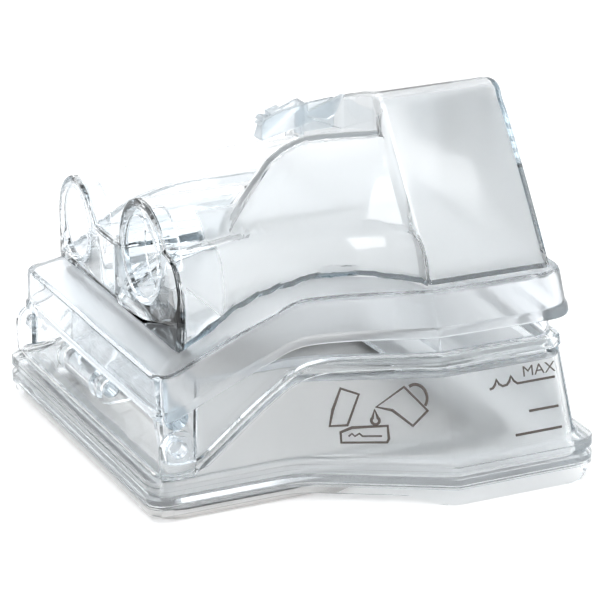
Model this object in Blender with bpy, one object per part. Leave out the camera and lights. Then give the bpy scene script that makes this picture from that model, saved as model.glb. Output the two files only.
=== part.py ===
"""Water tub of a heated humidifier: a clear base with a steel plate, and a hinged clear lid with two ports.

The tub is modelled in metres, +Z up. X runs from the port end to the outer end, and -Y is the near
side, with the fill symbol and the level window. The origin is the centre of the footprint, on the
surface that the tub stands on.
"""
import math

import bmesh
import bpy
from mathutils import Matrix, Vector

# Scale of the drawing
MM = 0.001

# Footprint of the rail flange
overall_length = 130.0 * MM
main_depth = 113.3 * MM
front_reach = 22.5 * MM
flange_height = 8.5 * MM
block_end_margin = 6.0 * MM
block_length = 39.5 * MM
bend_run = 40.0 * MM
front_start = overall_length - block_end_margin - block_length
flange_start = front_start - bend_run
foot_depth = 5.0 * MM
near_corner_radius = 5.0 * MM
outer_corner_radius = 6.0 * MM
bend_radius = 26.0 * MM
front_corner_radius = 2.4 * MM
rail_groove_depth = 1.1 * MM
rail_levels_share = (0.38, 0.41, 0.61, 0.64, 0.94)
rail_edge = 0.5 * MM

# Walls of the base and of the lid above the flange
port_wall_inset = 3.0 * MM
near_wall_inset = 1.5 * MM
front_wall_inset = 5.0 * MM
end_wall_inset = 3.2 * MM
far_wall_inset = 2.3 * MM
port_lean = 0.07
near_lean = 0.105
front_lean = 0.27
end_lean = 0.09
far_lean = 0.03
shell_wall = 2.0 * MM
lid_wall = 1.8 * MM
floor_thickness = 2.0 * MM
foot_fillet = 1.0 * MM
piece_gap = 0.3 * MM
overrun = 4.0 * MM

# Rim, tank wall and seal
rim_low_height = 10.0 * MM
rim_lip_height = 3.0 * MM
rim_lip_reach = 0.6 * MM
rim_wall = 1.2 * MM
slope_start_share = 0.0923
slope_end_share = 0.4615
slope_start = overall_length * slope_start_share
slope_end = overall_length * slope_end_share
tank_wall = 1.5 * MM
tank_near_setback = 4.4 * MM
tank_front_setback = 3.2 * MM
tank_port_setback = 12.0 * MM
seal_low_height = 0.7 * MM
seal_high_height = 2.5 * MM

# Lid band and ledge
band_top_height = 54.5 * MM
ledge_share = 0.666
ledge_height = band_top_height * ledge_share
band_height = 12.9 * MM
band_reach = 0.4 * MM
band_end_reach = 5.6 * MM
band_corner_radius = 9.0 * MM
band_wall = 2.2 * MM
band_edge = 0.8 * MM
panel_inset = 0.7 * MM
panel_wall = 1.8 * MM
ledge_thickness = 2.0 * MM
rim_drop = 18.5 * MM
rim_height = band_top_height - rim_drop
tank_height = ledge_height - ledge_thickness - piece_gap * 2 - seal_low_height
ledge_inner_margin = 0.7 * MM
cheek_width = 14.0 * MM
port_skirt_u = 5.0 * MM

# Port hood
port_plane = 16.8 * MM
hood_foot_y = 18.9 * MM
near_port_y = 45.5 * MM
near_port_rise = 4.2 * MM
near_port_height = band_top_height + near_port_rise
near_arch_radius = 16.7 * MM
far_port_margin = 17.5 * MM
far_port_y = main_depth - far_port_margin
far_port_drop = 1.3 * MM
far_port_height = band_top_height - far_port_drop
far_arch_radius = 14.2 * MM
bridge_rise = 2.3 * MM
bridge_height = band_top_height + bridge_rise
near_port_radius = 12.1 * MM
far_port_radius = 10.9 * MM
near_collar_wall = 2.0 * MM
far_collar_wall = 1.1 * MM
collar_length = 7.0 * MM

# Tall chamber
block_start = front_start
block_end = overall_length - block_end_margin
front_ledge_width = 1.88 * MM
front_wall_top = front_wall_inset - front_reach + front_lean * (band_top_height - flange_height)
block_front = front_wall_top + front_ledge_width
crest_y = 29.5 * MM
crest_rise = 47.0 * MM
crest_height = band_top_height + crest_rise
crest_round = 5.0 * MM
mid_crest_drop = 9.1 * MM
mid_crest_height = crest_height - mid_crest_drop
block_roof_drop = 10.6 * MM
block_roof_height = crest_height - block_roof_drop
mid_roof_drop = 11.8 * MM
mid_roof_height = mid_crest_height - mid_roof_drop
rear_roof_margin = 13.3 * MM
rear_roof_y = main_depth - rear_roof_margin
rear_roof_run = 33.0 * MM
mid_roof_y = rear_roof_y - rear_roof_run
rear_roof_drop = 4.6 * MM
rear_roof_height = mid_roof_height - rear_roof_drop
rear_wall_margin = 3.5 * MM
rear_wall_y = main_depth - rear_wall_margin
rear_wall_drop = 8.0 * MM
rear_wall_height = rear_roof_height - rear_wall_drop
crease_start_share = 0.254
crease_length_share = 0.384
crease_sweep_share = 0.443
crease_start = port_plane + (block_start - port_plane) * crease_start_share
crease_length = (block_start - port_plane) * crease_length_share
crease_sweep = (block_start - port_plane) * crease_sweep_share
crown = 0.6 * MM
hood_steps = 3
crease_steps = 12
step_gap = 0.8 * MM

# Upright brow across the roof behind the middle crest
brow_margin = 1.3 * MM
brow_length = 18.2 * MM
brow_end = block_start - brow_margin
brow_start = brow_end - brow_length
brow_setback = 1.0 * MM
brow_y = mid_roof_y - brow_setback
brow_wall = 1.8 * MM
brow_drop = 1.8 * MM
brow_height = mid_crest_height - brow_drop
brow_fall = 5.2 * MM
brow_start_height = brow_height - brow_fall
brow_steps = 9

# Hinge
hinge_u = 8.5 * MM
hinge_w = 17.5 * MM
pin_radius = 2.5 * MM
pin_head_radius = 4.2 * MM
pin_head_thickness = 0.5 * MM
pin_end_depth = 6.6 * MM
ear_offset = 0.8 * MM
ear_thickness = 1.2 * MM
ear_width = 11.0 * MM
rod_radius = 2.4 * MM
rod_start = 50.0 * MM
rod_end = 81.0 * MM
bracket_thickness = 2.0 * MM
bracket_reach = 8.4 * MM
hook_start = 56.0 * MM
hook_end = 75.0 * MM
hook_outer_radius = 4.6 * MM
hook_gap_degrees = 100.0
hook_tip_degrees = 4.0
cheek_drop = 5.3 * MM
cheek_bottom = hinge_w - cheek_drop
skirt_clearance = 0.9 * MM
skirt_bottom = hinge_w + hook_outer_radius + skirt_clearance
web_thickness = 1.2 * MM
roll_radius = 3.6 * MM
roll_u = 11.4 * MM
roll_w = 23.4 * MM
roll_start = 9.0 * MM
roll_end = 48.0 * MM

# Heater plate and its seal
plate_thickness = 0.8 * MM
plate_margin = 2.4 * MM
plate_end_margin = 12.0 * MM
plate_end = overall_length - plate_end_margin
plate_corner_radius = 9.0 * MM
plate_seal_height = 0.9 * MM
plate_seal_width = 3.6 * MM
window_margin = 8.0 * MM
lower_lip_depth = 2.4 * MM
lower_lip_wall = 1.1 * MM
lower_lip_inset = 0.7 * MM
grip_lead = 12.5 * MM
grip_start = front_start - grip_lead
grip_ramp = 10.0 * MM
grip_end_margin = 2.0 * MM
grip_end = overall_length - grip_end_margin

# Air guide under the bridge
guide_offset = 0.9 * MM
guide_y = (near_port_y + near_arch_radius + far_port_y - far_arch_radius) / 2 - guide_offset
guide_thickness = 1.6 * MM
guide_margin = 26.5 * MM
guide_end = block_start - guide_margin
guide_bottom = 37.5 * MM

# Heights along the length, as pairs of a place and a height
band_top_places_share = (0.0, 0.04, 0.11, 0.22, 0.35, 0.44, 1.0)
band_top_heights_share = (ledge_share, ledge_share, 0.745, 0.856, 0.977, 1.0, 0.99)
foot_places_share = (0.0, 0.13, 0.16, 0.285, 0.37, 0.44, 0.62, 1.0)
foot_heights_share = (ledge_share, 0.68, 0.716, 0.917, 0.973, 1.0, 0.995, 0.985)
foot_reach_places_share = (0.0, 0.13, 0.285, 0.37, 0.44, 0.51, 0.58, 0.62, 0.645, 1.0)
foot_reach_share = (1.0, 1.0, 0.96, 0.91, 0.86, 0.78, 0.58, 0.36, 0.0, 0.0)

weld = 0.0001 * MM
foot_spread = 0.1 * MM
arc_steps = 5
eyelet_steps = 32
collar_steps = 48
side_steps = (9, 7, 3, 3, 14, 3)

for old in list(bpy.data.objects):
    bpy.data.objects.remove(old)

parts = bpy.data.collections.new("humidifier_tub")
cutters = bpy.data.collections.new("cutters")
bpy.context.scene.collection.children.link(parts)
bpy.context.scene.collection.children.link(cutters)


def place(u, v, w):
    """World point of a place given from the port end, the near edge and the flange's lower face."""
    middle = (main_depth - front_reach) / 2
    return Vector((u - overall_length / 2, v - middle, w + foot_depth))


def material(name, colour, roughness, metallic=0.0, alpha=1.0):
    made = bpy.data.materials.new(name)
    made.use_nodes = True
    shader = made.node_tree.nodes["Principled BSDF"]
    shader.inputs["Base Color"].default_value = (*colour, 1.0)
    shader.inputs["Roughness"].default_value = roughness
    shader.inputs["Metallic"].default_value = metallic
    shader.inputs["Alpha"].default_value = alpha
    made.diffuse_color = (*colour, alpha)
    return made


clear_plastic = material("clear_plastic", (0.86, 0.90, 0.93), 0.12, alpha=0.35)
clear_lid_plastic = material("clear_lid_plastic", (0.82, 0.87, 0.92), 0.12, alpha=0.35)
clear_port_plastic = material("clear_port_plastic", (0.78, 0.83, 0.88), 0.10, alpha=0.45)
clear_hinge_plastic = material("clear_hinge_plastic", (0.74, 0.80, 0.86), 0.15, alpha=0.45)
clear_pin_plastic = material("clear_pin_plastic", (0.80, 0.84, 0.90), 0.15, alpha=0.5)
steel = material("steel", (0.58, 0.56, 0.54), 0.30, metallic=1.0)
silicone = material("silicone", (0.80, 0.82, 0.82), 0.55)
plate_silicone = material("plate_silicone", (0.55, 0.56, 0.56), 0.60)


def finish(obj, name, surface, smooth_degrees=35.0):
    obj.name = name
    obj.data.name = name
    obj.data.materials.clear()
    obj.data.materials.append(surface)
    obj.data.shade_smooth()
    obj.data.set_sharp_from_angle(angle=math.radians(smooth_degrees))
    return obj


def mesh_object(name, bm):
    bmesh.ops.triangulate(bm, faces=bm.faces, quad_method="BEAUTY", ngon_method="BEAUTY")
    bmesh.ops.dissolve_degenerate(bm, dist=weld, edges=bm.edges)
    bmesh.ops.recalc_face_normals(bm, faces=bm.faces)
    mesh = bpy.data.meshes.new(name)
    bm.to_mesh(mesh)
    bm.free()
    obj = bpy.data.objects.new(name, mesh)
    cutters.objects.link(obj)
    obj.hide_render = True
    obj.display_type = "WIRE"
    return obj


def loft(name, rings):
    """Closed solid through rings of points that have the same count."""
    bm = bmesh.new()
    levels = [[bm.verts.new(place(*point)) for point in ring] for ring in rings]
    count = len(levels[0])
    for low, high in zip(levels, levels[1:]):
        for i in range(count):
            j = (i + 1) % count
            bm.faces.new((low[i], low[j], high[j], high[i]))
    bm.faces.new(reversed(levels[0]))
    bm.faces.new(levels[-1])
    return mesh_object(name, bm)


def box(name, low, high):
    bm = bmesh.new()
    bmesh.ops.create_cube(bm, size=1.0)
    size = [h - l for l, h in zip(low, high)]
    centre = place(*[(l + h) / 2 for l, h in zip(low, high)])
    grown = Matrix.Diagonal((*size, 1.0))
    bmesh.ops.transform(bm, matrix=Matrix.Translation(centre) @ grown, verts=bm.verts)
    return mesh_object(name, bm)


def cylinder(name, axis, centre, radius, length, segments=32):
    """Cylinder whose axis is "X" or "Y" and whose first end is at the given centre."""
    turn = Matrix.Rotation(math.pi / 2, 4, "Y" if axis == "X" else "X")
    along = Vector((length / 2, 0, 0)) if axis == "X" else Vector((0, length / 2, 0))
    bm = bmesh.new()
    bmesh.ops.create_cone(bm, cap_ends=True, segments=segments, radius1=radius, radius2=radius, depth=length)
    bmesh.ops.transform(bm, matrix=Matrix.Translation(place(*centre) + along) @ turn, verts=bm.verts)
    return mesh_object(name, bm)


def combine(target, other, operation):
    """Applies one Boolean and removes the second shape."""
    modifier = target.modifiers.new(operation.lower(), "BOOLEAN")
    modifier.operation = operation
    modifier.solver = "EXACT"
    modifier.object = other
    graph = bpy.context.evaluated_depsgraph_get()
    result = bpy.data.meshes.new_from_object(target.evaluated_get(graph))
    bm = bmesh.new()
    bm.from_mesh(result)
    bmesh.ops.remove_doubles(bm, verts=bm.verts, dist=weld)
    bmesh.ops.dissolve_degenerate(bm, dist=weld, edges=bm.edges)
    bmesh.ops.triangulate(bm, faces=bm.faces, quad_method="BEAUTY", ngon_method="BEAUTY")
    bm.to_mesh(result)
    bm.free()
    target.modifiers.clear()
    target.data = result
    bpy.data.objects.remove(other)
    return target


def union(target, *others):
    for other in others:
        combine(target, other, "UNION")
    return target


def cut(target, *others):
    for other in others:
        combine(target, other, "DIFFERENCE")
    return target


def release(obj, name, surface):
    """Moves a finished shape from the cutters to the parts."""
    cutters.objects.unlink(obj)
    parts.objects.link(obj)
    obj.hide_render = False
    obj.display_type = "TEXTURED"
    return finish(obj, name, surface)


def rounded(corners):
    """Plan outline through corners (u, v, radius): a short arc at each, and points along each side."""
    arcs = []
    count = len(corners)
    for i, (u, v, radius) in enumerate(corners):
        here = Vector((u, v))
        before = (Vector(corners[i - 1][:2]) - here).normalized()
        after = (Vector(corners[(i + 1) % count][:2]) - here).normalized()
        half = before.angle(after) / 2
        reach = radius / math.tan(half)
        centre = here + (before + after).normalized() * (radius / math.sin(half))
        first = (here + before * reach - centre).normalized()
        last = (here + after * reach - centre).normalized()
        shares = [step / (arc_steps - 1) for step in range(arc_steps)]
        arcs.append([centre + first.slerp(last, share) * radius for share in shares])
    points = []
    for i, arc_points in enumerate(arcs):
        points += arc_points
        following = arcs[(i + 1) % count][0]
        steps = side_steps[i] if count == len(side_steps) else 1
        for step in range(1, steps):
            points.append(arc_points[-1].lerp(following, step / steps))
    return [(point.x, point.y) for point in points]


def wall_outline(w, inset, port=None, side=None, front=None, end=None, corner=outer_corner_radius):
    """Outline of the walls at one height. Each side's own inset replaces the common one."""
    rise = w - flange_height
    side_inset = inset if side is None else side
    front_inset = inset if front is None else front
    start = port_wall_inset + port_lean * rise + (inset if port is None else port)
    near = near_wall_inset + near_lean * rise + side_inset
    fore = -front_reach + front_wall_inset + front_lean * rise + front_inset
    last = overall_length - end_wall_inset - end_lean * rise - (inset if end is None else end)
    far = main_depth - far_wall_inset - far_lean * rise - side_inset
    shift = inset * 0.5
    small = max(near_corner_radius - max(inset, 0), piece_gap * 3)
    large = max(corner - max(inset, 0), piece_gap * 3)
    return rounded([
        (start, near, small),
        (flange_start + shift, near, bend_radius),
        (front_start + shift, fore, front_corner_radius),
        (last, fore, large),
        (last, far, large),
        (start, far, small),
    ])


def flange_outline(inset):
    shift = inset * 0.5
    near_end = overall_length - inset
    return rounded([
        (inset, inset, near_corner_radius),
        (flange_start + shift, inset, bend_radius),
        (front_start + shift, -front_reach + inset, front_corner_radius),
        (near_end, -front_reach + inset, outer_corner_radius),
        (near_end, main_depth - inset, outer_corner_radius),
        (inset, main_depth - inset, near_corner_radius),
    ])


def tank_outline(w, inset):
    """Outline of the inner tank wall, set back behind the lid's cheeks."""
    return wall_outline(
        w,
        inset + tank_front_setback,
        port=inset + tank_port_setback,
        side=inset + tank_near_setback,
        front=inset + tank_front_setback,
    )


def ease(share):
    """Smooth step from 0 to 1."""
    share = min(max(share, 0.0), 1.0)
    return share * share * (3 - 2 * share)


def table(value, places, heights):
    """Straight-line reading of a table."""
    for i in range(1, len(places)):
        if value <= places[i] or i == len(places) - 1:
            share = (value - places[i - 1]) / (places[i] - places[i - 1])
            return heights[i - 1] + (heights[i] - heights[i - 1]) * min(max(share, 0.0), 1.0)


def rim_line(u):
    """Height of the base's outer rim, which dips towards the hinge."""
    share = min(max((u - slope_start) / (slope_end - slope_start), 0.0), 1.0)
    return rim_low_height + (rim_height - rim_low_height) * math.sin(share * math.pi / 2) ** 1.2


def shelf_line(u):
    return min(rim_line(u), tank_height) - piece_gap


def band_top_line(u):
    share = u / overall_length
    return band_top_height * table(share, band_top_places_share, band_top_heights_share)


def foot_line(u):
    share = u / overall_length
    return band_top_height * table(share, foot_places_share, foot_heights_share)


def foot_y(u):
    """Near foot of the upper walls."""
    reach = table(u / overall_length, foot_reach_places_share, foot_reach_share)
    return block_front + (hood_foot_y - block_front) * reach


def swept(name, levels):
    """Ring-shaped solid: each level is a closed outline of (u, v, w), and the last joins the first."""
    bm = bmesh.new()
    rows = [[bm.verts.new(place(*point)) for point in level] for level in levels]
    count = len(rows[0])
    for k, row in enumerate(rows):
        following = rows[(k + 1) % len(rows)]
        for i in range(count):
            j = (i + 1) % count
            bm.faces.new((row[i], row[j], following[j], following[i]))
    return mesh_object(name, bm)


def at(outline, height):
    """Outline points at one height, or at heights that follow a line along the length."""
    if callable(height):
        return [(u, v, height(u)) for u, v in outline]
    return [(u, v, height) for u, v in outline]


def lower_depth(point):
    """Depth of the lip under the flange: it is deeper in the grip under the front."""
    u, v = point
    share = min((u - grip_start) / grip_ramp, (grip_end - u) / (grip_ramp / 2), 1.0)
    inside = share if v < main_depth / 2 else 0.0
    return -lower_lip_depth - (foot_depth - lower_lip_depth) * ease(inside)


# Base pan: one moulded section carried round the outline
front_v = front_wall_inset - front_reach


def window_outline():
    """Edge of the floor's opening over the heater plate, point for point with the walls."""
    low_u = plate_margin + window_margin
    high_u = plate_end - window_margin
    low_v = plate_margin + window_margin
    high_v = main_depth - plate_margin - window_margin
    outline = wall_outline(flange_height, shell_wall)
    first = min(u for u, v in outline)
    last = max(u for u, v in outline)
    top = max(v for u, v in outline)
    points = []
    for u, v in outline:
        bend = min(max((u - flange_start) / (front_start - flange_start), 0.0), 1.0)
        near = near_wall_inset + shell_wall + (front_v - near_wall_inset) * bend
        across = min(max((v - near) / (top - near), 0.0), 1.0)
        along = (u - first) / (last - first)
        points.append((low_u + (high_u - low_u) * along, low_v + (high_v - low_v) * across))
    return points


lip_outer = flange_outline(lower_lip_inset)
lip_inner = flange_outline(lower_lip_inset + lower_lip_wall)
rail = [flange_height * share for share in rail_levels_share]


def lip_line(points):
    return [(*point, lower_depth(point)) for point in points]


def lip_top(u):
    return rim_line(u) - min(rim_lip_height, (rim_line(u) - rim_low_height) * 0.8 + piece_gap)


def at_wall(inset, line, **sides):
    """Wall outline whose lean follows the height line: each point uses its own height."""
    plain = wall_outline(flange_height, inset, **sides)
    high = wall_outline(rim_height, inset, **sides)
    span = rim_height - flange_height
    points = []
    for (u0, v0), (u1, v1) in zip(plain, high):
        w = line(u0)
        share = (w - flange_height) / span
        points.append((u0 + (u1 - u0) * share, v0 + (v1 - v0) * share, w))
    return points


def tank_at(inset, line):
    plain = tank_outline(flange_height, inset)
    high = tank_outline(rim_height, inset)
    span = rim_height - flange_height
    points = []
    for (u0, v0), (u1, v1) in zip(plain, high):
        w = line(u0)
        share = (w - flange_height) / span
        points.append((u0 + (u1 - u0) * share, v0 + (v1 - v0) * share, w))
    return points


def constant(height):
    return lambda u: height


base = swept(
    "base",
    [
        lip_line(lip_outer),
        at(lip_outer, 0.0),
        at(flange_outline(0.0), 0.0),
        at(flange_outline(0.0), rail[0]),
        at(flange_outline(rail_groove_depth), rail[1]),
        at(flange_outline(rail_groove_depth), rail[2]),
        at(flange_outline(0.0), rail[3]),
        at(flange_outline(0.0), rail[4]),
        at(flange_outline(rail_edge), flange_height),
        at(wall_outline(flange_height, -foot_fillet * 0.8), flange_height),
        at_wall(0.0, constant(flange_height + foot_fillet * 0.8)),
        at_wall(0.0, lip_top),
        at_wall(-rim_lip_reach, lambda u: lip_top(u) + piece_gap),
        at_wall(-rim_lip_reach, rim_line),
        at_wall(rim_wall, rim_line),
        at_wall(rim_wall, shelf_line),
        tank_at(0.0, shelf_line),
        tank_at(0.0, constant(tank_height)),
        tank_at(tank_wall, constant(tank_height)),
        tank_at(tank_wall, lambda u: shelf_line(u) - shell_wall),
        at_wall(shell_wall, lambda u: shelf_line(u) - shell_wall * 1.5),
        at_wall(shell_wall, constant(floor_thickness + foot_fillet)),
        at_wall(shell_wall + foot_fillet, constant(floor_thickness)),
        at(window_outline(), floor_thickness),
        at(window_outline(), 0.0),
        at(lip_inner, 0.0),
        lip_line(lip_inner),
    ],
)


def eyelet(name, start, thickness, radius, reach, turn, hole_radius):
    """Plate with a round end and hole about the hinge axis, and a straight reach in the turned direction."""
    rims = ([], [])
    for i in range(eyelet_steps):
        angle = 2 * math.pi * (i + 0.5) / eyelet_steps
        along = math.cos(angle)
        across = math.sin(angle)
        distance = radius
        if along > 0:
            distance = min(reach / along, radius / abs(across))
        for rim, size in zip(rims, (distance, hole_radius)):
            u = size * (along * math.cos(turn) - across * math.sin(turn))
            w = size * (along * math.sin(turn) + across * math.cos(turn))
            rim.append((hinge_u + u, hinge_w + w))
    outer, inner = rims
    end = start + thickness
    levels = ((outer, start), (outer, end), (inner, end), (inner, start))
    return swept(name, [[(u, v, w) for u, w in rim] for rim, v in levels])


# Hinge ears and rod brackets, which belong to the base
ear_reach = hinge_w - flange_height / 2
for ear_low in (ear_offset, main_depth - ear_offset - ear_thickness):
    hole_radius = pin_radius + piece_gap
    ear = eyelet("ear", ear_low, ear_thickness, ear_width / 2, ear_reach, -math.pi / 2, hole_radius)
    union(base, ear)
for start in (rod_start, rod_end - bracket_thickness):
    hole_radius = rod_radius + piece_gap
    round_end = rod_radius * 1.9
    union(base, eyelet("bracket", start, bracket_thickness, round_end, bracket_reach, 0.0, hole_radius))

release(base, "base_pan", clear_plastic)


# Heater plate: a shallow steel tray under the opening in the floor
def plate_outline(margin):
    low_u = plate_margin + margin
    low_v = plate_margin + margin
    high_u = plate_end - margin
    high_v = main_depth - plate_margin - margin
    radius = max(plate_corner_radius - margin, plate_thickness)
    corners = [(low_u, low_v), (high_u, low_v), (high_u, high_v), (low_u, high_v)]
    return rounded([(u, v, radius) for u, v in corners])


plate_top = -plate_seal_height - 2 * piece_gap
inside_floor = plate_thickness - foot_depth
plate = loft(
    "plate",
    [
        at(plate_outline(plate_thickness * 2), -foot_depth),
        at(plate_outline(plate_thickness * 0.6), -foot_depth + plate_thickness * 0.6),
        at(plate_outline(0.0), -foot_depth + plate_thickness * 2),
        at(plate_outline(0.0), plate_top),
        at(plate_outline(plate_thickness), plate_top),
        at(plate_outline(plate_thickness), -foot_depth + plate_thickness * 3),
        at(plate_outline(plate_thickness * 2.4), inside_floor),
    ],
)
release(plate, "heater_plate", steel)

plate_seal = swept(
    "plate_seal",
    [
        at(plate_outline(0.0), -plate_seal_height - piece_gap),
        at(plate_outline(0.0), -piece_gap),
        at(plate_outline(plate_seal_width), -piece_gap),
        at(plate_outline(plate_seal_width), -plate_seal_height - piece_gap),
    ],
)
release(plate_seal, "plate_seal", plate_silicone)

rod = cylinder("rod", "Y", (hinge_u, rod_start, hinge_w), rod_radius, rod_end - rod_start)
release(rod, "hinge_rod", clear_pin_plastic)


# Lid shell: ring of panel, band and ledge
def on_port_end(u, v):
    """True for the stretch of the outline across the port end, between the two cheeks."""
    return u < port_plane and cheek_width / 2 < v < main_depth - cheek_width / 2


def panel_low(u, v):
    if on_port_end(u, v):
        return skirt_bottom
    return max(rim_line(u), cheek_bottom - piece_gap) + piece_gap


def lid_wall_at(inset, line, end_reach=0.0):
    """Lid wall outline. Its port end stands upright on the skirt's plane."""
    lift = port_skirt_u - port_wall_inset + inset
    span = rim_height - flange_height
    sides = {"end": inset - end_reach, "corner": band_corner_radius}
    plain = wall_outline(flange_height, inset, port=lift, **sides)
    high = wall_outline(rim_height, inset, port=lift - port_lean * span, **sides)
    points = []
    for (u0, v0), (u1, v1) in zip(plain, high):
        w = line(u0, v0)
        share = (w - flange_height) / span
        points.append((u0 + (u1 - u0) * share, v0 + (v1 - v0) * share, w))
    return points


def band_low(u, v):
    if on_port_end(u, v):
        return skirt_bottom + piece_gap * 3
    return max(band_high(u, v) - band_height, panel_low(u, v) + piece_gap * 3)


def band_high(u, v):
    if v > main_depth / 2:
        return foot_line(u)
    return ledge_height if on_port_end(u, v) else band_top_line(u)


def raised(line, amount):
    return lambda u, v: line(u, v) + amount


def lowered(line, amount):
    return lambda u, v: line(u, v) - amount


def upper_outline(inset):
    """Foot of the upper walls, point for point with the lid's outer outline."""
    last = block_end - inset
    far = rear_wall_y - inset
    start = port_plane + inset
    outline = wall_outline(flange_height, 0.0)
    first_u = min(u for u, v in outline)
    last_u = max(u for u, v in outline)
    top = max(v for u, v in outline)
    corner = port_plane * 1.45
    outer_places = (first_u, corner, block_start, last_u)
    inner_places = (start, corner, block_start, last)
    points = []
    for u, v in outline:
        shared_u = table(u, outer_places, inner_places)
        bend = min(max((u - flange_start) / (front_start - flange_start), 0.0), 1.0)
        near = near_wall_inset + (front_v - near_wall_inset) * bend
        across = min(max((v - near) / (top - near), 0.0), 1.0)
        near_foot = foot_y(shared_u) + inset
        points.append((shared_u, near_foot + (far - near_foot) * across))
    return points


ledge_hole = upper_outline(lid_wall + ledge_inner_margin)
ring = swept(
    "ring",
    [
        lid_wall_at(panel_inset, panel_low),
        lid_wall_at(panel_inset, lowered(band_low, piece_gap)),
        lid_wall_at(-band_reach, band_low, band_end_reach),
        lid_wall_at(-band_reach, lowered(band_high, band_edge), band_end_reach),
        lid_wall_at(band_edge - band_reach, band_high, band_end_reach),
        at(ledge_hole, foot_line),
        at(ledge_hole, lambda u: foot_line(u) - ledge_thickness),
        lid_wall_at(band_wall, lowered(band_high, ledge_thickness), band_end_reach),
        lid_wall_at(band_wall, raised(band_low, band_edge * 3), band_end_reach),
        lid_wall_at(band_wall, raised(band_low, band_edge * 2)),
        lid_wall_at(panel_inset + panel_wall, panel_low),
    ],
)

face_points = 6
arch_points = 9


def arc(centre_y, centre_z, radius, first, last, count):
    """Points of a circle from one angle to another, in degrees from +Y."""
    points = []
    for i in range(count):
        angle = math.radians(first + (last - first) * i / (count - 1))
        points.append((centre_y + radius * math.cos(angle), centre_z + radius * math.sin(angle)))
    return points


shoulder_height = near_port_height + near_arch_radius * 0.35


def hood_section(u, inset):
    """Hood outline from the near foot over both arches to the far foot."""
    foot = foot_line(u)
    near_radius = near_arch_radius - inset
    far_radius = far_arch_radius - inset
    rise = math.degrees(math.asin((shoulder_height - near_port_height) / near_arch_radius))
    far_low = math.degrees(math.asin((bridge_height - inset - far_port_height) / far_radius))
    near = arc(near_port_y, near_port_height, near_radius, 180 - rise, 0.0, arch_points - 1)
    near.append((near[-1][0] + piece_gap / 4, bridge_height - inset))
    far = arc(far_port_y, far_port_height, far_radius, 180 - far_low, rise / 2, arch_points)
    leg = []
    for i in range(face_points):
        share = i / face_points
        v = foot_y(u) + inset + (near[0][0] - foot_y(u) - inset) * share ** 3
        leg.append((v, foot + (near[0][1] - foot) * share))
    wall = rear_wall_y - inset
    return leg + near + far + [(wall, (far[-1][1] + foot) / 2), (wall, foot)]


def tall_section(u, inset):
    """Outline of the tall chamber, with the same number of points as the hood's."""
    block = u >= block_start
    foot_w = foot_line(u)
    foot_v = foot_y(u) + inset
    top_w = (crest_height if block else mid_crest_height) - inset
    top_v = crest_y + inset * 0.4
    face = []
    for i in range(face_points):
        share = i / face_points
        v = foot_v + (top_v - crest_round * 0.5 - foot_v) * share - crown * math.sin(math.pi * share)
        face.append((v, foot_w + (top_w - crest_round - foot_w) * share))
    mid_w = (block_roof_height if block else mid_roof_height) - inset
    roof = [(top_v - crest_round * 0.45, top_w - crest_round)]
    roof.append((top_v - crest_round * 0.1, top_w - crest_round * 0.3))
    count = arch_points - len(roof)
    for i in range(count):
        share = i / (count - 1)
        start_v = top_v + crest_round * 0.6
        rise = crown * math.sin(math.pi * share)
        roof.append((start_v + (mid_roof_y - start_v) * share, top_w + (mid_w - top_w) * share + rise))
    rear_w = rear_roof_height - inset
    for i in range(arch_points):
        share = (i + 1) / arch_points
        rise = crown * math.sin(math.pi * share)
        v = mid_roof_y + (rear_roof_y - mid_roof_y) * share
        roof.append((v, mid_w + (rear_w - mid_w) * share + rise))
    wall = rear_wall_y - inset
    return face + roof + [(wall, rear_wall_height - inset), (wall, foot_w)]


def upper_section(u, inset, position):
    """Blend of the hood and the tall chamber, which takes over along a slanting crease."""
    hood = hood_section(u, inset)
    tall = tall_section(u, inset)
    blended = []
    for low, high in zip(hood, tall):
        across = min(max((low[0] - crest_y) / (rear_roof_y - crest_y), 0.0), 1.0)
        share = (u - crease_start - crease_sweep * across) / crease_length
        weight = math.sin(min(max(share, 0.0), 1.0) * math.pi / 2)
        v, w = Vector(low).lerp(Vector(high), weight)
        blended.append((v, w))
    bottom = foot_line(u) - ledge_thickness / 2
    path = [(blended[0][0], bottom)] + blended + [(blended[-1][0], bottom)]
    return [(position, v, w) for v, w in path]


def upper_sections(inset):
    """Sections along the upper walls. The tall block starts later inside by the wall's thickness."""
    start = port_plane + inset
    end = block_end - inset
    last = block_start - step_gap
    places = [start + (crease_start - start) * i / hood_steps for i in range(hood_steps)]
    places += [crease_start + (last - crease_start) * i / crease_steps for i in range(crease_steps)]
    shapes = places + [last, block_start, end, end]
    places += [last + inset, block_start + inset, end - crest_round, end]
    return [upper_section(shape, inset, u) for shape, u in zip(shapes, places)]


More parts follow.
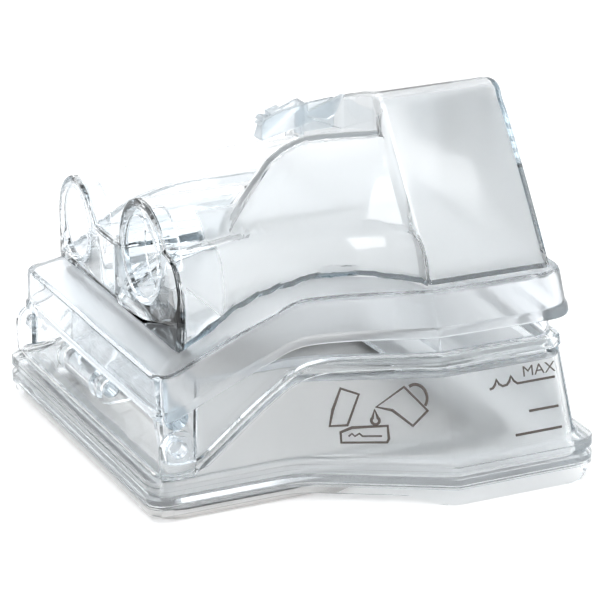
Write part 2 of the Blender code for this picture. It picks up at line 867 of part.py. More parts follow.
def shell(name, outer, inner):
    """Open-bottomed shell between two sets of sections that run from the near foot to the far foot."""
    bm = bmesh.new()
    sides = []
    feet = []
    for sections in (outer, inner):
        rows = [[bm.verts.new(place(*point)) for point in section] for section in sections]
        for row, following in zip(rows, rows[1:]):
            for i in range(len(row) - 1):
                bm.faces.new((row[i], row[i + 1], following[i + 1], following[i]))
        ends = []
        for row in (rows[0], rows[-1]):
            last = len(row) - 1
            foot = [row[0]]
            span = row[-1].co.y - row[0].co.y
            for i in range(1, last):
                low = foot[-1].co.y + foot_spread
                high = row[-1].co.y - foot_spread * (last - i)
                y = min(max(row[i].co.y, low), high)
                foot.append(bm.verts.new(row[0].co.lerp(row[-1].co, (y - row[0].co.y) / span)))
            foot.append(row[-1])
            for i in range(last):
                corners = [row[i], row[i + 1], foot[i + 1], foot[i]]
                bm.faces.new(dict.fromkeys(corners))
            ends.append(foot)
        sides.append(rows)
        feet.append(ends)
    outside, inside = sides
    for end in (0, -1):
        for k in range(len(outside) - 1):
            bm.faces.new((outside[k][end], outside[k + 1][end], inside[k + 1][end], inside[k][end]))
        for i in range(len(outside[0]) - 1):
            outer_foot = feet[0][end]
            inner_foot = feet[1][end]
            bm.faces.new((outer_foot[i], outer_foot[i + 1], inner_foot[i + 1], inner_foot[i]))
    return mesh_object(name, bm)


lid = shell(
    "upper",
    upper_sections(0.0),
    upper_sections(lid_wall),
)
near_hole = near_port_radius + near_collar_wall + piece_gap
far_hole = far_port_radius + far_collar_wall + piece_gap
hole_length = lid_wall + overrun * 1.5
near_place = (port_plane - overrun, near_port_y, near_port_height)
far_place = (port_plane - overrun, far_port_y, far_port_height)
port_holes = cylinder("port_holes", "X", near_place, near_hole, hole_length, collar_steps)
far_cutter = cylinder("far_cutter", "X", far_place, far_hole, hole_length, collar_steps)
union(port_holes, far_cutter)
for side_v in (-overrun, main_depth - cheek_width / 2):
    start = (hinge_u, side_v, hinge_w)
    cut(ring, cylinder("cheek_hole", "Y", start, pin_radius + piece_gap, cheek_width / 2 + overrun))
union(lid, ring)
cut(lid, port_holes)
release(lid, "lid_shell", clear_lid_plastic)


# Brow: an upright plate on the roof, whose foot follows the roof
def roof_height(u, v):
    """Height of the upper walls' outer face over one point of the plan."""
    section = upper_section(u, 0.0, u)
    heights = []
    for (_, v0, w0), (_, v1, w1) in zip(section, section[1:]):
        if min(v0, v1) <= v <= max(v0, v1) and v0 != v1:
            heights.append(w0 + (w1 - w0) * (v - v0) / (v1 - v0))
    return max(heights)


brow_rings = []
for i in range(brow_steps):
    share = i / (brow_steps - 1)
    u = brow_start + (brow_end - brow_start) * share
    sides = (brow_y, brow_y + brow_wall)
    low = max(roof_height(across, v) for v in sides for across in (u, u + step_gap)) + piece_gap
    high = brow_start_height + (brow_height - brow_start_height) * math.sin(share * math.pi / 2)
    bow = crown * math.sin(math.pi * share)
    corners = ((sides[0], low), (sides[1], low), (sides[1], high), (sides[0], high))
    brow_rings.append([(u, v - bow, w) for v, w in corners])
release(loft("brow", brow_rings), "rear_brow", clear_lid_plastic)

# Port collars
for name, port_y, port_height, radius, wall in (
    ("near_port_collar", near_port_y, near_port_height, near_port_radius, near_collar_wall),
    ("far_port_collar", far_port_y, far_port_height, far_port_radius, far_collar_wall),
):
    front = port_plane - piece_gap
    levels = []
    outer = radius + wall
    for reach, size in ((0.0, outer), (collar_length, outer), (collar_length, radius), (0.0, radius)):
        last = 360.0 * (collar_steps - 1) / collar_steps
        circle = arc(port_y, port_height, size, 0.0, last, collar_steps)
        levels.append([(front + reach, v, w) for v, w in circle])
    release(swept(name, levels), name, clear_port_plastic)


# Lid seal, on the tank wall
def seal_top(u):
    share = ease((u - port_plane) / (slope_end - port_plane))
    return tank_height + piece_gap + seal_low_height + (seal_high_height - seal_low_height) * share


seal = swept(
    "seal",
    [
        tank_at(0.0, constant(tank_height + piece_gap)),
        tank_at(0.0, seal_top),
        tank_at(tank_wall, seal_top),
        tank_at(tank_wall, constant(tank_height + piece_gap)),
    ],
)
release(seal, "lid_seal", silicone)

# Air guide, hung under the bridge between the two ports
guide = box(
    "guide",
    (port_plane + lid_wall * 2, guide_y, guide_bottom),
    (guide_end, guide_y + guide_thickness, bridge_height - lid_wall - piece_gap),
)
release(guide, "air_guide", clear_port_plastic)

# Hinge carrier under the ledge: a web, a rounded roll and the hook round the rod
web_top = ledge_height - ledge_thickness - piece_gap
carrier = box(
    "carrier",
    (hinge_u - web_thickness / 2, roll_start + piece_gap, roll_w + piece_gap),
    (hinge_u + web_thickness / 2, hook_end, web_top),
)
neck_bottom = hinge_w + hook_outer_radius - web_thickness / 2
neck = box(
    "neck",
    (hinge_u - web_thickness * 0.45, hook_start + piece_gap, neck_bottom),
    (hinge_u + web_thickness * 0.45, hook_end - piece_gap, roll_w + web_thickness),
)
roll = cylinder("roll", "Y", (roll_u, roll_start, roll_w), roll_radius, roll_end - roll_start, 24)
hook = cylinder("hook", "Y", (hinge_u, hook_start, hinge_w), hook_outer_radius, hook_end - hook_start)
hook_length = hook_end - hook_start + 2 * overrun
hook_side = (hinge_u, hook_start - overrun, hinge_w)
cut(hook, cylinder("hook_bore", "Y", hook_side, rod_radius + piece_gap, hook_length))
mouth = []
for angle in (-hook_gap_degrees, -hook_tip_degrees):
    turn = math.radians(angle)
    reach = hook_outer_radius * 2
    mouth.append((hinge_u + reach * math.cos(turn), hinge_w + reach * math.sin(turn)))
mouth.insert(1, (hinge_u + hook_outer_radius * 2, hinge_w - hook_outer_radius * 2))
mouth.insert(0, (hinge_u, hinge_w))
mouth_sides = (hook_start - overrun, hook_end + overrun)
cut(hook, loft("mouth", [[(u, v, w) for u, w in mouth] for v in mouth_sides]))
union(carrier, roll, neck, hook)
release(carrier, "hinge_carrier", clear_hinge_plastic)

# Hinge pins through the ears and the lid's cheeks
for name, side in (("near_hinge_pin", 0), ("far_hinge_pin", 1)):
    if side == 0:
        head_v = ear_offset - piece_gap - pin_head_thickness
        shank_v = head_v + pin_head_thickness / 2
    else:
        head_v = main_depth - ear_offset + piece_gap
        shank_v = head_v + pin_head_thickness / 2 - pin_end_depth
    pin = cylinder(name, "Y", (hinge_u, head_v, hinge_w), pin_head_radius, pin_head_thickness)
    union(pin, cylinder("shank", "Y", (hinge_u, shank_v, hinge_w), pin_radius, pin_end_depth))
    release(pin, name, clear_pin_plastic)
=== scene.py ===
"""Clear water tub of a heated humidifier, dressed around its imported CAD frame."""

import math

import bmesh
import bpy
from mathutils import Matrix, Vector


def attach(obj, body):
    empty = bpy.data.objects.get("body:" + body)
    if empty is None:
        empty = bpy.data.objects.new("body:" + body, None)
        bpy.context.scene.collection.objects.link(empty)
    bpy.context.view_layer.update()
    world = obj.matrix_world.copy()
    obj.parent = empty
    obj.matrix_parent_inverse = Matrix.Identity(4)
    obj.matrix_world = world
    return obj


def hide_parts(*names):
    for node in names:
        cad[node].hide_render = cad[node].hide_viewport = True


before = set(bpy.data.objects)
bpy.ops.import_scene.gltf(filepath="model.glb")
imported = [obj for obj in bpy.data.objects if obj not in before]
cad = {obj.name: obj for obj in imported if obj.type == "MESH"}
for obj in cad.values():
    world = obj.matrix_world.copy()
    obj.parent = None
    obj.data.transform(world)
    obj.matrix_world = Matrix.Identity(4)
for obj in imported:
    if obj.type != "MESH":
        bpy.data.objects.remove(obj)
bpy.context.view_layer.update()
scene = bpy.context.scene

# Light tent
# White all round, greyer overhead and to the far side, so that the clear walls draw soft grey edges.
# Three large lamps give the highlights, and the white paper floor keeps a faint shadow.
scene.view_settings.view_transform = "Standard"
scene.cycles.max_bounces = 40
scene.cycles.transmission_bounces = 40
scene.cycles.glossy_bounces = 12
scene.cycles.transparent_max_bounces = 32


def looking_rays(nodes, links):
    """Socket that reads 1 for rays that look: straight, through a clear wall or in a mirror."""
    ray = nodes.new("ShaderNodeLightPath")
    looking = ray.outputs["Is Camera Ray"]
    for kind in ("Is Transmission Ray", "Is Glossy Ray"):
        either = nodes.new("ShaderNodeMath")
        either.operation = "MAXIMUM"
        links.new(looking, either.inputs[0])
        links.new(ray.outputs[kind], either.inputs[1])
        looking = either.outputs[0]
    return looking


white = (1.0, 1.0, 1.0, 1.0)
tent_top = (0.78, 0.81, 0.84, 1.0)
tent_stops = ((0.5, 1.0), (0.66, 0.95), (0.82, 0.90))
cool = (1.008, 1.016)
diffuse_level = 0.9
tent = bpy.data.worlds.new("light_tent")
scene.world = tent
tent.use_nodes = True
tent_nodes = tent.node_tree.nodes
tent_links = tent.node_tree.links
ray_kind = tent_nodes.new("ShaderNodeLightPath")
direction = tent_nodes.new("ShaderNodeTexCoord")
tilt = tent_nodes.new("ShaderNodeSeparateXYZ")
tent_links.new(direction.outputs["Generated"], tilt.inputs[0])
lift = tent_nodes.new("ShaderNodeMapRange")
lift.inputs["From Min"].default_value = -1.0
tent_links.new(tilt.outputs["Z"], lift.inputs["Value"])
shade = tent_nodes.new("ShaderNodeValToRGB")
shade.color_ramp.elements[0].color = white
shade.color_ramp.elements[1].color = tent_top
for height_share, grey in tent_stops:
    stop = shade.color_ramp.elements.new(height_share)
    stop.color = (grey, grey * cool[0], grey * cool[1], 1.0)
tent_links.new(lift.outputs["Result"], shade.inputs["Fac"])
plain = tent_nodes.new("ShaderNodeMix")
plain.data_type = "RGBA"
plain.inputs["B"].default_value = white
tent_links.new(ray_kind.outputs["Is Camera Ray"], plain.inputs["Factor"])
tent_links.new(shade.outputs["Color"], plain.inputs["A"])
tent_links.new(plain.outputs["Result"], tent_nodes["Background"].inputs["Color"])
level = tent_nodes.new("ShaderNodeMapRange")
level.inputs["To Min"].default_value = diffuse_level
tent_links.new(looking_rays(tent_nodes, tent_links), level.inputs["Value"])
tent_links.new(level.outputs["Result"], tent_nodes["Background"].inputs["Strength"])

lamp_aim = Vector((0.0, 0.0, 0.04))
for name, spot, size, watts in (
    ("key_lamp", (-0.55, -0.75, 0.95), 0.6, 9.0),
    ("side_lamp", (0.95, -0.35, 0.55), 0.5, 4.0),
    ("rear_lamp", (0.1, 0.95, 0.7), 0.7, 2.5),
):
    lamp = bpy.data.lights.new(name, "AREA")
    lamp.size = size
    lamp.energy = watts
    holder = bpy.data.objects.new(name, lamp)
    holder.location = spot
    holder.rotation_euler = (lamp_aim - Vector(spot)).to_track_quat("-Z", "Y").to_euler()
    scene.collection.objects.link(holder)

paper_white = (0.78, 0.78, 0.78, 1.0)
paper_glow = 0.30
floor_reach = 3.0
paper = bpy.data.materials.new("white_paper")
paper.use_nodes = True
paper_nodes = paper.node_tree.nodes
paper_links = paper.node_tree.links
paper_shader = paper_nodes["Principled BSDF"]
paper_shader.inputs["Base Color"].default_value = paper_white
paper_shader.inputs["Roughness"].default_value = 0.8
paper_shader.inputs["Specular IOR Level"].default_value = 0.0
paper_shader.inputs["Emission Color"].default_value = white
glow = paper_nodes.new("ShaderNodeMath")
glow.operation = "MULTIPLY"
glow.inputs[1].default_value = paper_glow
paper_links.new(looking_rays(paper_nodes, paper_links), glow.inputs[0])
paper_links.new(glow.outputs[0], paper_shader.inputs["Emission Strength"])
bm = bmesh.new()
bmesh.ops.create_grid(bm, x_segments=1, y_segments=1, size=floor_reach)
floor_data = bpy.data.meshes.new("floor")
bm.to_mesh(floor_data)
bm.free()
floor_data.materials.append(paper)
floor = bpy.data.objects.new("floor", floor_data)
scene.collection.objects.link(floor)

# Camera at the photograph's place
# A long lens looks down on the near side from a little to the left, past the port end.
camera_place = (-0.38687, -0.81891, 0.38392)
azimuth = math.radians(-25.4)
elevation = math.radians(20.65)
back = Vector((
    math.sin(azimuth) * math.cos(elevation),
    -math.cos(azimuth) * math.cos(elevation),
    math.sin(elevation),
))
right = Vector((math.cos(azimuth), math.sin(azimuth), 0.0))
up = back.cross(right)
lens = bpy.data.cameras.new("camera")
lens.lens = 198.0
lens.sensor_width = 36.0
camera = bpy.data.objects.new("camera", lens)
camera.matrix_world = Matrix((
    (right.x, up.x, back.x, camera_place[0]),
    (right.y, up.y, back.y, camera_place[1]),
    (right.z, up.z, back.z, camera_place[2]),
    (0.0, 0.0, 0.0, 1.0),
))
scene.collection.objects.link(camera)
scene.camera = camera

# Base pan
# One injection moulding: a rail flange with fine grooves, leaning walls with a dipping rim, an inner tank
# wall and a grip under the front. Clear plastic: satin inside the walls, softly satin on the flange.
MM = 0.001
length, depth, reach = 130.0, 113.3, 22.5
flange_top, rim_top = 8.5, 36.0
lift_off_table = 5.0
# the near side runs straight, bends forward and ends in the wider front
bend_start, bend_radius = 44.5, 26.0
front_start, front_radius = 84.5, 2.4
port_corner, end_corner, least_corner = 5.0, 6.0, 0.9
# where each wall stands at the flange's top, and how far it leans in over a millimetre of height
near_foot, near_lean = 1.5, 0.105
front_foot, front_lean = -17.5, 0.27
port_foot, port_lean = 3.0, 0.07
end_foot, end_lean = 126.8, 0.09
far_foot, far_lean = 111.0, 0.03
# the lip under the flange, and the grip in it with its two ramps
lip_low, grip_drop = 2.4, 2.6
grip_start, start_ramp = 72.0, 10.0
grip_end, end_ramp = 128.0, 5.0
# the rim that climbs from the hinge end, its bead, and the shelf and tank wall inside it
rim_low, rim_climb, climb_start, climb_length = 10.0, 26.0, 12.0, 48.0
bead_height, least_bead, bead_growth = 3.0, 0.3, 0.8
shelf_top, shelf_drop = 33.0, 0.3
tank_near, tank_side, tank_port = 4.4, 3.2, 12.0
floor_thickness, floor_margin = 2.0, 2.0
window_start, window_length, window_width = 10.4, 99.6, 92.5
half_satin = 0.55
weld = 0.00001
arc_count = 9
side_counts = (18, 16, 12, 12, 40, 24)
plastic_ior = 1.35
body_tint = (0.62, 0.71, 0.76, 1.0)
body_density = 26.0


def new_material(name):
    """Plain material with its nodes and links."""
    made = bpy.data.materials.new(name)
    made.use_nodes = True
    return made, made.node_tree.nodes, made.node_tree.links


def grain(nodes, links, size, detail=2.0, stretch=None):
    """Noise over the piece's own coordinates, which may be stretched along an axis."""
    places = nodes.new("ShaderNodeTexCoord").outputs["Object"]
    if stretch:
        mapping = nodes.new("ShaderNodeMapping")
        mapping.inputs["Scale"].default_value = stretch
        links.new(places, mapping.inputs["Vector"])
        places = mapping.outputs["Vector"]
    noise = nodes.new("ShaderNodeTexNoise")
    noise.inputs["Scale"].default_value = size
    noise.inputs["Detail"].default_value = detail
    links.new(places, noise.inputs["Vector"])
    return noise.outputs["Fac"]


def relief(nodes, links, height, strength, distance):
    """Fine relief of the surface that follows a height."""
    bump = nodes.new("ShaderNodeBump")
    bump.inputs["Strength"].default_value = strength
    bump.inputs["Distance"].default_value = distance
    links.new(height, bump.inputs["Height"])
    links.new(bump.outputs["Normal"], nodes["Principled BSDF"].inputs["Normal"])


def ranged(nodes, links, value, low, high):
    """The same value laid between two others."""
    spread = nodes.new("ShaderNodeMapRange")
    spread.inputs["To Min"].default_value = low
    spread.inputs["To Max"].default_value = high
    links.new(value, spread.inputs["Value"])
    return spread.outputs["Result"]


def clear_plastic(name, tint, polished, satin, ripple, ripple_size, milk, satin_places=("satin",)):
    """Clear moulded plastic: polished, but satin where the piece's own attributes say so, with a faint
    flow ripple. A satin place scatters the share milk of the light, and the body takes up a little."""
    made, nodes, links = new_material(name)
    shader = nodes["Principled BSDF"]
    shader.inputs["Base Color"].default_value = (*tint, 1.0)
    shader.inputs["IOR"].default_value = plastic_ior
    flow = grain(nodes, links, ripple_size, detail=3.0)
    relief(nodes, links, flow, ripple, 0.001)
    share = nodes.new("ShaderNodeMath")
    share.operation = "MULTIPLY"
    share.inputs[1].default_value = 1.0
    for place, socket in zip(satin_places, share.inputs):
        marked = nodes.new("ShaderNodeAttribute")
        marked.attribute_name = place
        links.new(marked.outputs["Fac"], socket)
    finish = nodes.new("ShaderNodeMix")
    finish.inputs["A"].default_value = polished
    links.new(share.outputs[0], finish.inputs["Factor"])
    links.new(ranged(nodes, links, flow, satin * 0.85, satin * 1.15), finish.inputs["B"])
    links.new(finish.outputs["Result"], shader.inputs["Roughness"])
    passing = nodes.new("ShaderNodeMix")
    passing.inputs["A"].default_value = 1.0
    passing.inputs["B"].default_value = 1.0 - milk
    links.new(share.outputs[0], passing.inputs["Factor"])
    links.new(passing.outputs["Result"], shader.inputs["Transmission Weight"])
    body = nodes.new("ShaderNodeVolumeAbsorption")
    body.inputs["Color"].default_value = body_tint
    body.inputs["Density"].default_value = body_density
    links.new(body.outputs["Volume"], nodes["Material Output"].inputs["Volume"])
    return made


def at(u, v, w):
    """Place measured from the port end, the near edge and the flange's underside, in millimetres."""
    return Vector((u - length / 2, v - (depth - reach) / 2, w + lift_off_table)) * MM


def rounded_outline(corners):
    """Plan outline with an arc at every corner and evenly spaced points along the sides."""
    arcs = []
    for i, (u, v, radius) in enumerate(corners):
        here = Vector((u, v))
        before = (Vector(corners[i - 1][:2]) - here).normalized()
        after = (Vector(corners[(i + 1) % len(corners)][:2]) - here).normalized()
        half = before.angle(after) / 2
        centre = here + (before + after).normalized() * (radius / math.sin(half))
        first = (here + before * radius / math.tan(half) - centre).normalized()
        last = (here + after * radius / math.tan(half) - centre).normalized()
        arcs.append([centre + first.slerp(last, k / (arc_count - 1)) * radius for k in range(arc_count)])
    points = []
    for i, arc in enumerate(arcs):
        points += arc
        following = arcs[(i + 1) % len(arcs)][0]
        points += [arc[-1].lerp(following, k / side_counts[i]) for k in range(1, side_counts[i])]
    return points


def wall_plan(w, near=0.0, front=None, end=None, port=None, corner=end_corner):
    """Plan of the leaning walls at one height, moved in on each side by its own amount."""
    rise = w - flange_top
    front = near if front is None else front
    end = near if end is None else end
    port = near if port is None else port
    first = port_foot + port_lean * rise + port
    near_edge = near_foot + near_lean * rise + near
    front_edge = front_foot + front_lean * rise + front
    last = end_foot - end_lean * rise - end
    far_edge = far_foot - far_lean * rise - near
    small = max(port_corner - max(near, 0.0), least_corner)
    large = max(corner - max(near, 0.0), least_corner)
    return rounded_outline([
        (first, near_edge, small),
        (bend_start + near / 2, near_edge, bend_radius),
        (front_start + near / 2, front_edge, front_radius),
        (last, front_edge, large),
        (last, far_edge, large),
        (first, far_edge, small),
    ])


def flange_plan(inset, height):
    """Row of the rail flange at one height, or at heights that follow a rule."""
    outline = rounded_outline([
        (inset, inset, port_corner),
        (bend_start + inset / 2, inset, bend_radius),
        (front_start + inset / 2, inset - reach, front_radius),
        (length - inset, inset - reach, end_corner),
        (length - inset, depth - inset, end_corner),
        (inset, depth - inset, port_corner),
    ])
    return [at(p.x, p.y, height(p.x, p.y) if callable(height) else height) for p in outline]


def lip_depth(u, v):
    """Depth of the lip under the flange, deeper in the grip under the front."""
    if v >= depth / 2:
        return -lip_low
    share = min((u - grip_start) / start_ramp, (grip_end - u) / end_ramp, 1.0)
    share = max(share, 0.0)
    return -lip_low - grip_drop * share * share * (3 - 2 * share)


def along_bend(u):
    """How far a place along the near side is on its way from the near wall to the front."""
    return min(max((u - bend_start) / (front_start - bend_start), 0.0), 1.0)


def near_line(u, foot=near_foot):
    """Line of the near side and the front at the flange's top."""
    return foot + (front_foot - near_foot) * along_bend(u)


def rim_height(u):
    """The rim climbs from the hinge end to its full height."""
    share = min(max((u - climb_start) / climb_length, 0.0), 1.0)
    return rim_low + rim_climb * math.sin(share * math.pi / 2) ** 1.2


def lip_top(u):
    """Underside of the rim's outer bead."""
    return rim_height(u) - min(bead_height, (rim_height(u) - rim_low) * bead_growth + least_bead)


def shelf_height(u):
    """Shelf between the rim and the inner tank wall."""
    return min(rim_height(u), shelf_top) - shelf_drop


def leaning_row(line, lift, **sides):
    """Row of a leaning wall: each point leans in with its own height."""
    low = wall_plan(flange_top, **sides)
    high = wall_plan(rim_top, **sides)
    row = []
    for first, last in zip(low, high):
        w = (line(first.x) if callable(line) else line) + lift
        point = first.lerp(last, (w - flange_top) / (rim_top - flange_top))
        row.append(at(point.x, point.y, w))
    return row


def wall_row(inset, line, lift=0.0):
    """Row of the outer walls."""
    return leaning_row(line, lift, near=inset)


def tank_row(inset, line, lift=0.0):
    """Row of the inner tank wall, set back behind the lid's cheeks."""
    sides = {"front": inset + tank_side, "end": inset + tank_side, "port": inset + tank_port}
    return leaning_row(line, lift, near=inset + tank_near, **sides)


def window_row(height):
    """Edge of the floor's opening over the heater plate."""
    outline = wall_plan(flange_top, near=floor_margin)
    first = min(p.x for p in outline)
    last = max(p.x for p in outline)
    top = max(p.y for p in outline)
    row = []
    for p in outline:
        near = near_line(p.x, near_foot + floor_margin)
        across = min(max((p.y - near) / (top - near), 0.0), 1.0)
        along = (p.x - first) / (last - first)
        row.append(at(window_start + window_length * along, window_start + window_width * across, height))
    return row


def finished_piece(name, bm, smooth_degrees=32.0):
    """Makes a piece of a mesh, smooth but for its sharper edges."""
    data = bpy.data.meshes.new(name)
    bm.to_mesh(data)
    bm.free()
    data.shade_smooth()
    data.set_sharp_from_angle(angle=math.radians(smooth_degrees))
    piece = bpy.data.objects.new(name, data)
    scene.collection.objects.link(piece)
    return piece


def moulded_ring(name, rows, satin_rows=(), soft_rows=(), clear_rows=(), clear_before=-1.0):
    """Closed ring: a grid whose rows are laid on closed plans, and whose two seams are merged.
    The clear rows stay polished on the port side of clear_before."""
    count = len(rows[0])
    bm = bmesh.new()
    bmesh.ops.create_grid(bm, x_segments=count, y_segments=len(rows), size=0.5)
    satin = bm.verts.layers.float.new("satin")
    for vert in bm.verts:
        i = round((vert.co.x + 0.5) * count) % count
        j = round((vert.co.y + 0.5) * len(rows)) % len(rows)
        vert.co = rows[j][i]
        left_clear = j in clear_rows and vert.co.x < clear_before
        if j in soft_rows:
            vert[satin] = half_satin
        else:
            vert[satin] = 1.0 if j in satin_rows and not left_clear else 0.0
    bmesh.ops.remove_doubles(bm, verts=bm.verts, dist=weld)
    bmesh.ops.recalc_face_normals(bm, faces=bm.faces)
    return finished_piece(name, bm)


base_plastic = clear_plastic(
    "base_plastic", (0.975, 0.985, 0.99), polished=0.04, satin=0.34, ripple=0.04, ripple_size=90.0,
    milk=0.2,
)
rail_rows = range(3, 20)
inside_rows = range(35, 39)
base_tub = moulded_ring("base_tub", [
    flange_plan(0.9, lip_depth),
    flange_plan(0.7, lambda u, v: lip_depth(u, v) + 0.4),
    flange_plan(0.7, 0.0),
    flange_plan(0.2, 0.0),
    flange_plan(0.0, 0.25),
    flange_plan(0.0, 1.15),
    flange_plan(0.3, 1.3),
    flange_plan(0.3, 1.5),
    flange_plan(0.0, 1.65),
    flange_plan(0.0, 3.1),
    flange_plan(1.1, 3.45),
    flange_plan(1.1, 5.2),
    flange_plan(0.0, 5.5),
    flange_plan(0.0, 6.8),
    flange_plan(0.35, 6.95),
    flange_plan(0.35, 7.15),
    flange_plan(0.0, 7.3),
    flange_plan(0.0, 8.0),
    flange_plan(0.2, 8.35),
    flange_plan(0.6, 8.5),
    wall_row(-1.0, flange_top),
    wall_row(-0.35, flange_top, 0.25),
    wall_row(0.0, flange_top, 0.9),
    wall_row(0.0, lip_top),
    wall_row(-0.4, lip_top, 0.2),
    wall_row(-0.6, lip_top, 0.5),
    wall_row(-0.6, rim_height, -0.4),
    wall_row(-0.3, rim_height),
    wall_row(0.9, rim_height),
    wall_row(1.2, rim_height, -0.2),
    wall_row(1.2, shelf_height),
    tank_row(0.0, shelf_height),
    tank_row(0.0, shelf_top),
    tank_row(1.5, shelf_top),
    tank_row(1.5, shelf_height, -2.0),
    wall_row(2.0, shelf_height, -3.0),
    wall_row(2.0, 3.0),
    wall_row(3.0, floor_thickness),
    window_row(floor_thickness),
    window_row(0.0),
    flange_plan(1.8, 0.0),
    flange_plan(1.8, lip_depth),
], satin_rows=inside_rows, soft_rows=rail_rows)
base_tub.data.materials.append(base_plastic)
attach(base_tub, "base")
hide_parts("base_pan")

# Hinge ears and rod brackets
# Round-ended lugs that stand up from the base's port end and hold the pins and the hinge rod.
# Clear plastic, moulded in one with the base pan.
hinge_u, hinge_w = 8.5, 17.5


def lug(name, start, thickness, radius, reach_down, turn, hole):
    """Flat lug with a round end and a round hole, which reaches from the hinge axis to the base."""
    bm = bmesh.new()
    rims = []
    for size in (radius, hole):
        made = bmesh.ops.create_circle(bm, segments=40, radius=size)
        rims.append(made["verts"])
    for vert in rims[0]:
        if vert.co.x > 0:
            vert.co.x = reach_down * min(1.0, vert.co.x / (radius * 0.35))
    edges = list(dict.fromkeys(e for rim in rims for vert in rim for e in vert.link_edges))
    faces = bmesh.ops.bridge_loops(bm, edges=edges)["faces"]
    grown = bmesh.ops.extrude_face_region(bm, geom=faces)["geom"]
    lifted = [g for g in grown if isinstance(g, bmesh.types.BMVert)]
    bmesh.ops.translate(bm, verts=lifted, vec=(0, 0, thickness))
    stand = Matrix.Rotation(math.pi / 2, 4, "X") @ Matrix.Rotation(turn, 4, "Z")
    bmesh.ops.transform(bm, matrix=stand, verts=bm.verts)
    bmesh.ops.scale(bm, verts=bm.verts, vec=(MM, MM, MM))
    bmesh.ops.translate(bm, verts=bm.verts, vec=at(hinge_u, start + thickness, hinge_w))
    bmesh.ops.recalc_face_normals(bm, faces=bm.faces)
    piece = finished_piece(name, bm)
    piece.data.materials.append(base_plastic)
    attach(piece, "base")
    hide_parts("base_pan")


for name, start in (("near_ear", 0.8), ("far_ear", depth - 2.0)):
    lug(name, start, thickness=1.2, radius=5.5, reach_down=9.0, turn=-math.pi / 2, hole=2.8)
for name, start in (("first_bracket", 50.0), ("second_bracket", 79.0)):
    lug(name, start, thickness=2.0, radius=4.6, reach_down=8.0, turn=0.0, hole=2.7)

# Level marks and fill symbol
# Pad-printed in a warm dark grey on the outside of the front wall: the maximum line with its wave, two
# shorter lines, and a plain symbol of a jug that fills an open tub.
ink, ink_nodes, ink_links = new_material("dark_ink")
ink_shader = ink_nodes["Principled BSDF"]
ink_tone = ink_nodes.new("ShaderNodeValToRGB")
ink_tone.color_ramp.elements[0].color = (0.060, 0.047, 0.040, 1.0)
ink_tone.color_ramp.elements[1].color = (0.095, 0.078, 0.068, 1.0)
ink_links.new(grain(ink_nodes, ink_links, 2500.0), ink_tone.inputs["Fac"])
ink_links.new(ink_tone.outputs["Color"], ink_shader.inputs["Base Color"])
ink_shader.inputs["Roughness"].default_value = 0.5


def front_wall(u, w, proud=0.02):
    """Place on the outside of the near and front walls."""
    rise = w - flange_top
    share = along_bend(u)
    v = (near_foot + near_lean * rise) * (1 - share) + (front_foot + front_lean * rise) * share
    return at(u, v - proud, w)


def ink_lines(name, strokes, width):
    """Printed strokes, each a thin line along points of the wall; a closed stroke ends where it starts."""
    line = bpy.data.curves.new(name, "CURVE")
    line.dimensions = "3D"
    line.bevel_depth = width / 2 * MM
    line.bevel_resolution = 1
    line.use_fill_caps = True
    for stroke in strokes:
        closed = stroke[0] == stroke[-1]
        points = stroke[:-1] if closed else stroke
        spline = line.splines.new("POLY")
        spline.points.add(len(points) - 1)
        for point, (u, w) in zip(spline.points, points):
            point.co = (*front_wall(u, w), 1.0)
        spline.use_cyclic_u = closed
    holder = bpy.data.objects.new(name + "_line", line)
    piece = bpy.data.objects.new(name, bpy.data.meshes.new_from_object(holder))
    bpy.data.objects.remove(holder)
    scene.collection.objects.link(piece)
    piece.data.materials.clear()
    piece.data.materials.append(ink)
    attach(piece, "base")


def arc_points(u, w, radius_u, radius_w, first, last, count):
    """Points on an elliptic arc, from one angle to another in degrees."""
    points = []
    for k in range(count + 1):
        angle = math.radians(first + (last - first) * k / count)
        points.append((u + radius_u * math.cos(angle), w + radius_w * math.sin(angle)))
    return points


wave = [(98.9, 24.9), (99.9, 25.1), (100.7, 26.0), (101.2, 27.3), (101.9, 25.9), (103.0, 25.2)]
wave += [(104.4, 25.3), (105.3, 26.2), (105.9, 27.6), (106.7, 26.1), (107.8, 25.2), (119.9, 25.2)]
ink_lines("maximum_line", [wave], 0.72)
ink_lines("level_lines", [[(110.7, 17.0), (120.1, 17.0)], [(105.6, 11.0), (120.5, 11.0)]], 0.76)
drop = arc_points(65.8, 18.8, 1.05, 1.05, 130, 410, 14)
drop = [(65.8, 21.9)] + drop + [(65.8, 21.9)]
jug = [(66.3, 22.7), (74.0, 28.2), (79.6, 21.4), (75.4, 17.2), (70.4, 21.7), (66.3, 22.7)]
handle = arc_points(76.9, 25.2, 2.9, 3.6, 122, -42, 14)
open_lid = [(57.3, 28.2), (62.0, 26.4), (58.5, 17.6), (53.9, 17.4), (54.9, 22.0), (57.3, 28.2)]
box = [(56.6, 12.6), (68.4, 12.6), (68.9, 13.6), (68.9, 17.3), (59.6, 16.9), (56.6, 15.6), (56.6, 12.6)]
ripple = [(58.6, 14.4), (59.5, 15.2), (60.2, 14.4), (61.4, 15.2), (62.2, 14.4), (67.2, 14.4)]
ink_lines("fill_symbol", [drop, jug, handle, open_lid, box], 0.86)
ink_lines("fill_symbol_wave", [ripple], 0.55)

